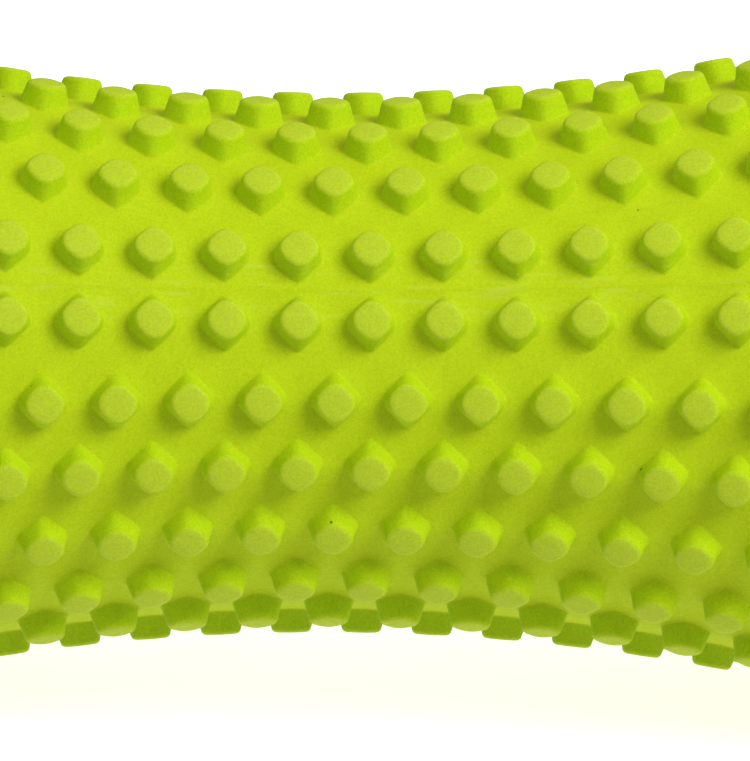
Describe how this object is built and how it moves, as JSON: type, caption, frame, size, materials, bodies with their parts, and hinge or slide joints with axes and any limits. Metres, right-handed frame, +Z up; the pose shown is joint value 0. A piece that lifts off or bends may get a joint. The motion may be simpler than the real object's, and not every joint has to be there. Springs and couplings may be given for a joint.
{
  "type": "foot massage roller",
  "caption": "Waisted foot massage roller: a knobbed elastomer sleeve stretched over a hollow rigid core whose ends are closed by snap-in caps.",
  "frame": {"origin": "middle of the roller's axis", "axes": "+X along the roller's axis, +Z up with a row of knobs straight down so that the roller lies still, -Y towards the side that the picture shows"},
  "size_m": [0.1672, 0.0858, 0.0842],
  "materials": {
    "sleeve_elastomer": "matte, soft-touch moulded elastomer, lime green",
    "core_plastic": "as moulded, hidden inside",
    "screw_steel": "zinc plated",
    "cap_plastic": "fine matte texture, lime green a shade deeper than the sleeve"
  },
  "bodies": {
    "root": {"massage_sleeve": "sleeve_elastomer", "core_left": "core_plastic", "core_right": "core_plastic", "core_screws": "screw_steel", "end_cap_left": "cap_plastic", "end_cap_right": "cap_plastic"}
  },
  "joints": []
}
